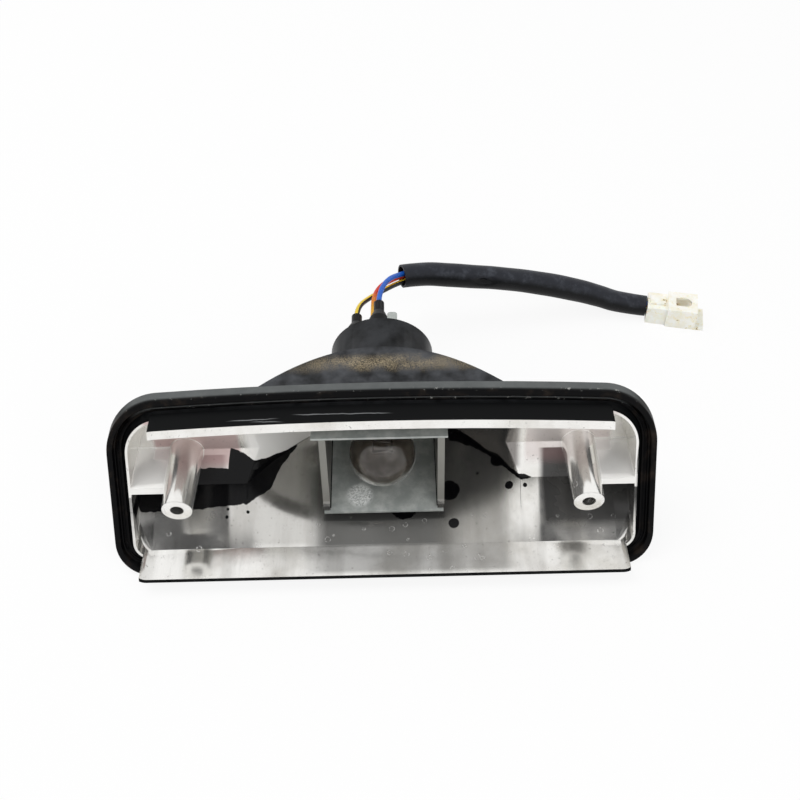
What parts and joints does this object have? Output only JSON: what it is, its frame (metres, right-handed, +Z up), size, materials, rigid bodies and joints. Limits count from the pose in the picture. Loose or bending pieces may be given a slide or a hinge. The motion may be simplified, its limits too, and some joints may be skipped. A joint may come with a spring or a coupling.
{
  "type": "tail light housing",
  "caption": "Bumper tail lamp housing without its lens: metallised reflector, rim gasket, lens screw bosses, shielded bulb in a rear socket, and a sleeved wiring tail with a plug.",
  "frame": {"origin": "middle of the lamp without its wiring, on the surface the gasket stands on", "axes": "+X along the lamp towards the plug, +Y to the back along the bulb axis, +Z up"},
  "size_m": [0.2472, 0.151, 0.0565],
  "materials": {
    "metallised_plastic": "black moulding, mirror coated inside",
    "gasket_rubber": "weathered matt",
    "zinc_plated_steel": "dull plated",
    "bulb_glass": "clear",
    "nickel_brass": "dull",
    "tungsten": "dull",
    "terminal_plastic": "dusty",
    "boot_plastic": "satin",
    "wire_blue_pvc": "satin",
    "wire_red_pvc": "satin",
    "wire_black_pvc": "satin with a stripe",
    "sleeve_pvc": "soft sheen",
    "connector_nylon": "aged ivory"
  },
  "bodies": {
    "root": {"lamp_housing": "metallised_plastic", "rubber_gasket": "gasket_rubber", "heat_shield": "zinc_plated_steel", "bulb_glass": "bulb_glass", "bulb_cap": "nickel_brass", "bulb_pins": "nickel_brass", "bulb_contacts": "nickel_brass", "bulb_stem": "bulb_glass", "bulb_filaments": "tungsten", "socket_shell": "zinc_plated_steel", "socket_grommet": "gasket_rubber", "contact_carrier": "terminal_plastic", "contact_studs": "nickel_brass", "terminal_plate": "terminal_plastic", "terminal_blades": "nickel_brass", "ground_tab": "zinc_plated_steel", "boot_ribbed": "boot_plastic", "boot_smooth": "boot_plastic", "boot_lower": "boot_plastic", "wire_blue": "wire_blue_pvc", "wire_red": "wire_red_pvc", "wire_black": "wire_black_pvc", "harness_sleeve": "sleeve_pvc", "connector_housing": "connector_nylon", "connector_pins": "nickel_brass"}
  },
  "joints": []
}
